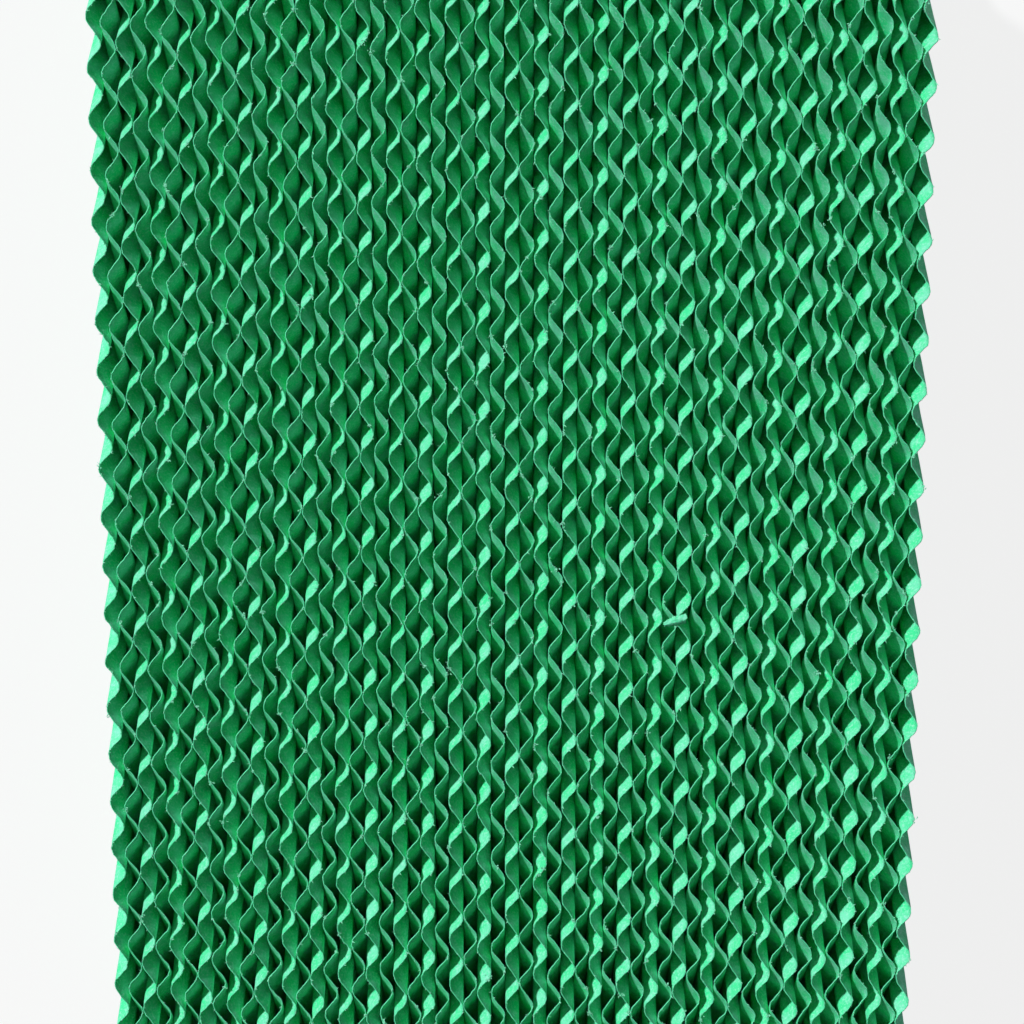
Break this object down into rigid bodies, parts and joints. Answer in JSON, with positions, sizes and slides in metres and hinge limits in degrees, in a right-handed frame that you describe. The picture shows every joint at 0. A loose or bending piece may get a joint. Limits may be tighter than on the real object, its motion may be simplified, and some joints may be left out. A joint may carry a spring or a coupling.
{
  "type": "evaporative cooling pad",
  "caption": "Block of fluted green paper sheets glued crest to crest, flutes crossing at a slant, that wets and cools the air drawn through it.",
  "frame": {"origin": "middle of the back air face, on which the pad lies", "axes": "+X across the sheets, +Y along the sheets to the end that is uppermost in use, +Z out of the sawn air face"},
  "size_m": [0.399, 0.6, 0.1],
  "materials": {
    "green_paper": "matte"
  },
  "bodies": {
    "root": {"rising_sheet_01": "green_paper", "falling_sheet_01": "green_paper", "rising_sheet_02": "green_paper", "falling_sheet_02": "green_paper", "rising_sheet_03": "green_paper", "falling_sheet_03": "green_paper", "rising_sheet_04": "green_paper", "falling_sheet_04": "green_paper", "rising_sheet_05": "green_paper", "falling_sheet_05": "green_paper", "rising_sheet_06": "green_paper", "falling_sheet_06": "green_paper", "rising_sheet_07": "green_paper", "falling_sheet_07": "green_paper", "rising_sheet_08": "green_paper", "falling_sheet_08": "green_paper", "rising_sheet_09": "green_paper", "falling_sheet_09": "green_paper", "rising_sheet_10": "green_paper", "falling_sheet_10": "green_paper", "rising_sheet_11": "green_paper", "falling_sheet_11": "green_paper", "rising_sheet_12": "green_paper", "falling_sheet_12": "green_paper", "rising_sheet_13": "green_paper", "falling_sheet_13": "green_paper", "rising_sheet_14": "green_paper", "falling_sheet_14": "green_paper", "rising_sheet_15": "green_paper", "falling_sheet_15": "green_paper", "rising_sheet_16": "green_paper", "falling_sheet_16": "green_paper", "rising_sheet_17": "green_paper", "falling_sheet_17": "green_paper", "rising_sheet_18": "green_paper", "falling_sheet_18": "green_paper", "rising_sheet_19": "green_paper", "falling_sheet_19": "green_paper", "rising_sheet_20": "green_paper", "falling_sheet_20": "green_paper", "rising_sheet_21": "green_paper", "falling_sheet_21": "green_paper", "rising_sheet_22": "green_paper", "falling_sheet_22": "green_paper", "rising_sheet_23": "green_paper", "falling_sheet_23": "green_paper", "rising_sheet_24": "green_paper", "falling_sheet_24": "green_paper", "rising_sheet_25": "green_paper", "falling_sheet_25": "green_paper", "rising_sheet_26": "green_paper", "falling_sheet_26": "green_paper", "rising_sheet_27": "green_paper", "falling_sheet_27": "green_paper", "rising_sheet_28": "green_paper", "falling_sheet_28": "green_paper", "rising_sheet_29": "green_paper"}
  },
  "joints": []
}
